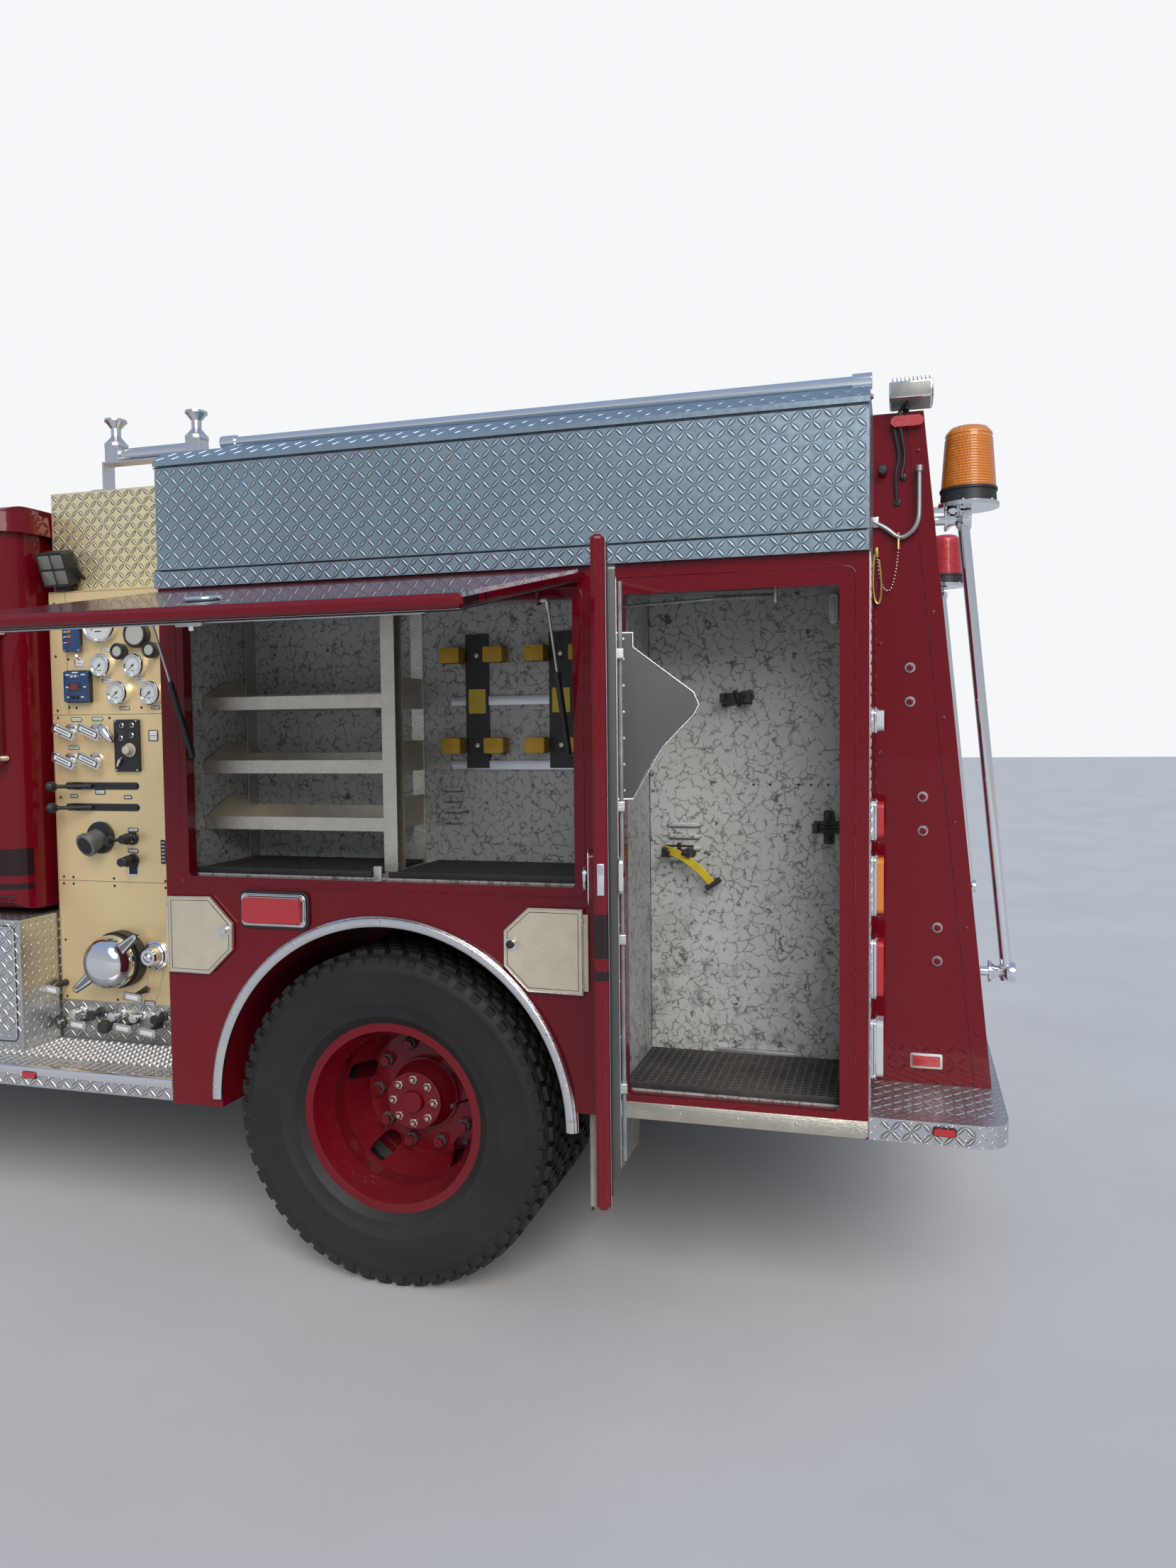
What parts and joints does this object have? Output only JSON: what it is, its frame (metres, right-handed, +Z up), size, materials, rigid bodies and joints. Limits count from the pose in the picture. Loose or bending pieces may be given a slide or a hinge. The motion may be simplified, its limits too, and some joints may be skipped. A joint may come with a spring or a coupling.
{
  "type": "brush truck",
  "caption": "Red four-wheel-drive brush fire truck: crew cab, side pump panel, treadplate compartment body with open side doors, hose bed and tailboard.",
  "frame": {"origin": "ground level under the middle of the whole truck's footprint, open doors included", "axes": "+X to the truck's rear, +Y to the truck's right, +Z up"},
  "size_m": [7.243, 3.444, 2.844],
  "materials": {
    "red_paint": "gloss",
    "frame_black": "satin",
    "cast_black": "rough",
    "black_steel": "satin",
    "chrome": "polished",
    "treadplate": "bright",
    "aluminium": "brushed",
    "brushed": "brushed",
    "tyre": "matte",
    "glass": "clear",
    "red_lens": "gloss",
    "amber_lens": "gloss",
    "clear_lens": "gloss",
    "pale_speckle": "speckled satin",
    "black_plastic": "matte",
    "grey_plastic": "matte",
    "tank_plastic": "matte",
    "seat_vinyl": "satin"
  },
  "bodies": {
    "chassis": {"chassis_frame": "frame_black", "front_bumper": "chrome", "axles": "cast_black", "driveline": "cast_black", "cab_shell": "red_paint", "cab_glass": "glass", "seats": "seat_vinyl", "dashboard": "grey_plastic", "pump_house": "brushed", "pump_fittings": "chrome", "black_fittings": "black_plastic", "running_boards": "treadplate", "compartment_liners": "pale_speckle", "shelves": "treadplate", "water_tank": "tank_plastic", "hose_bed": "treadplate", "tailboard": "treadplate", "buttresses": "red_paint", "handrails": "chrome", "hose_roller": "brushed", "lamp_housings": "chrome", "lenses_red": "red_lens", "lenses_amber": "amber_lens", "lenses_clear": "clear_lens", "body_left": "red_paint", "body_right": "red_paint"},
    "hood": {"hood": "red_paint", "grille": "chrome"},
    "tie_rod": {"tie_rod": "cast_black"},
    "knuckle_left": {"knuckle_left": "cast_black"},
    "front_wheel_left": {"front_wheel_left": "red_paint", "front_tyre_left": "tyre"},
    "rear_wheels_left": {"rear_wheel_left": "red_paint", "rear_tyres_left": "tyre"},
    "knuckle_right": {"knuckle_right": "cast_black"},
    "front_wheel_right": {"front_wheel_right": "red_paint", "front_tyre_right": "tyre"},
    "rear_wheels_right": {"rear_wheel_right": "red_paint", "rear_tyres_right": "tyre"},
    "cab_door_front_left": {"cab_door_front_left": "red_paint", "door_glass_front_left": "glass"},
    "cab_door_rear_left": {"cab_door_rear_left": "red_paint", "door_glass_rear_left": "glass"},
    "cab_door_front_right": {"cab_door_front_right": "red_paint", "door_glass_front_right": "glass"},
    "cab_door_rear_right": {"cab_door_rear_right": "red_paint", "door_glass_rear_right": "glass"},
    "lift_door_left": {"lift_door_left": "red_paint"},
    "strut_tubes_left": {"strut_tubes_left": "black_steel"},
    "strut_rods_left": {"strut_rods_left": "brushed"},
    "rear_door_left": {"rear_door_left": "red_paint"},
    "small_door_front_left": {"small_door_front_left": "aluminium"},
    "small_door_rear_left": {"small_door_rear_left": "aluminium"},
    "lift_door_right": {"lift_door_right": "red_paint"},
    "strut_tubes_right": {"strut_tubes_right": "black_steel"},
    "strut_rods_right": {"strut_rods_right": "brushed"},
    "rear_door_right": {"rear_door_right": "red_paint"},
    "small_door_front_right": {"small_door_front_right": "aluminium"},
    "small_door_rear_right": {"small_door_rear_right": "aluminium"}
  },
  "joints": [
    {"name": "steer_left", "type": "hinge", "parent": "chassis", "child": "knuckle_left", "pos_m": [-2.74153, -0.45795, 0.525], "axis": [0, 0, 1], "range_deg": [-30, 30]},
    {"name": "front_wheel_spin_left", "type": "hinge", "parent": "knuckle_left", "child": "front_wheel_left", "pos_m": [-2.74153, -0.59795, 0.525], "axis": [0, 1, 0], "continuous": true},
    {"name": "rear_wheel_spin_left", "type": "hinge", "parent": "chassis", "child": "rear_wheels_left", "pos_m": [1.80347, -0.50795, 0.525], "axis": [0, 1, 0], "continuous": true},
    {"name": "steer_right", "type": "hinge", "parent": "chassis", "child": "knuckle_right", "pos_m": [-2.74153, 1.24205, 0.525], "axis": [0, 0, 1], "range_deg": [-30, 30]},
    {"name": "front_wheel_spin_right", "type": "hinge", "parent": "knuckle_right", "child": "front_wheel_right", "pos_m": [-2.74153, 1.38205, 0.525], "axis": [0, 1, 0], "continuous": true},
    {"name": "rear_wheel_spin_right", "type": "hinge", "parent": "chassis", "child": "rear_wheels_right", "pos_m": [1.80347, 1.29205, 0.525], "axis": [0, 1, 0], "continuous": true},
    {"name": "tie_rod_pivot", "type": "hinge", "parent": "knuckle_left", "child": "tie_rod", "pos_m": [-2.55152, -0.45795, 0.415], "axis": [0, 0, 1], "range_deg": [-30, 30]},
    {"name": "hood_tilt", "type": "hinge", "parent": "chassis", "child": "hood", "pos_m": [-3.39653, 0.39205, 0.905], "axis": [0, -1, 0], "range_deg": [0, 75]},
    {"name": "cab_door_front_left_hinge", "type": "hinge", "parent": "chassis", "child": "cab_door_front_left", "pos_m": [-1.84153, -0.63625, 1.5], "axis": [0, 0, -1], "range_deg": [0, 70]},
    {"name": "cab_door_rear_left_hinge", "type": "hinge", "parent": "chassis", "child": "cab_door_rear_left", "pos_m": [-0.88153, -0.63625, 1.5], "axis": [0, 0, -1], "range_deg": [0, 70]},
    {"name": "cab_door_front_right_hinge", "type": "hinge", "parent": "chassis", "child": "cab_door_front_right", "pos_m": [-1.84153, 1.42035, 1.5], "axis": [0, 0, 1], "range_deg": [0, 70]},
    {"name": "cab_door_rear_right_hinge", "type": "hinge", "parent": "chassis", "child": "cab_door_rear_right", "pos_m": [-0.88153, 1.42035, 1.5], "axis": [0, 0, 1], "range_deg": [0, 70]},
    {"name": "lift_door_left_hinge", "type": "hinge", "parent": "chassis", "child": "lift_door_left", "pos_m": [1.78347, -0.83425, 2.13], "axis": [-1, 0, 0], "range_deg": [-79, 0]},
    {"name": "strut_swing_left", "type": "hinge", "parent": "chassis", "child": "strut_tubes_left", "pos_m": [1.78347, -0.81595, 1.641], "axis": [1, 0, 0], "range_deg": [-27.63, 0]},
    {"name": "strut_slide_left", "type": "slide", "parent": "strut_tubes_left", "child": "strut_rods_left", "axis": [0, -0.4014, 0.9159], "range_m": [-0.13992, 0]},
    {"name": "rear_door_left_hinge", "type": "hinge", "parent": "chassis", "child": "rear_door_left", "pos_m": [2.52047, -0.83425, 1.389], "axis": [0, 0, -1], "range_deg": [-75, 15]},
    {"name": "small_door_front_left_hinge", "type": "hinge", "parent": "chassis", "child": "small_door_front_left", "pos_m": [1.06248, -0.83325, 1.082], "axis": [0, 0, -1], "range_deg": [0, 110]},
    {"name": "small_door_rear_left_hinge", "type": "hinge", "parent": "chassis", "child": "small_door_rear_left", "pos_m": [2.45547, -0.83325, 1.082], "axis": [0, 0, 1], "range_deg": [0, 90]},
    {"name": "lift_door_right_hinge", "type": "hinge", "parent": "chassis", "child": "lift_door_right", "pos_m": [1.78347, 1.61835, 2.13], "axis": [1, 0, 0], "range_deg": [0, 79]},
    {"name": "strut_swing_right", "type": "hinge", "parent": "chassis", "child": "strut_tubes_right", "pos_m": [1.78347, 1.60005, 1.641], "axis": [-1, 0, 0], "range_deg": [0, 27.63]},
    {"name": "strut_slide_right", "type": "slide", "parent": "strut_tubes_right", "child": "strut_rods_right", "axis": [0, -0.0689, 0.9976], "range_m": [0, 0.13992]},
    {"name": "rear_door_right_hinge", "type": "hinge", "parent": "chassis", "child": "rear_door_right", "pos_m": [2.52047, 1.61835, 1.389], "axis": [0, 0, 1], "range_deg": [0, 90]},
    {"name": "small_door_front_right_hinge", "type": "hinge", "parent": "chassis", "child": "small_door_front_right", "pos_m": [1.06248, 1.61735, 1.082], "axis": [0, 0, 1], "range_deg": [0, 110]},
    {"name": "small_door_rear_right_hinge", "type": "hinge", "parent": "chassis", "child": "small_door_rear_right", "pos_m": [2.45547, 1.61735, 1.082], "axis": [0, 0, -1], "range_deg": [0, 90]}
  ],
  "couplings": [
    {"joint": "steer_right", "follows": "steer_left", "ratio": 1},
    {"joint": "tie_rod_pivot", "follows": "steer_left", "ratio": -1},
    {"joint": "strut_swing_left", "follows": "lift_door_left_hinge", "ratio": 0.34959},
    {"joint": "strut_slide_left", "follows": "lift_door_left_hinge", "m_per_rad": 0.10141},
    {"joint": "strut_swing_right", "follows": "lift_door_right_hinge", "ratio": 0.34959},
    {"joint": "strut_slide_right", "follows": "lift_door_right_hinge", "m_per_rad": 0.10141}
  ]
}
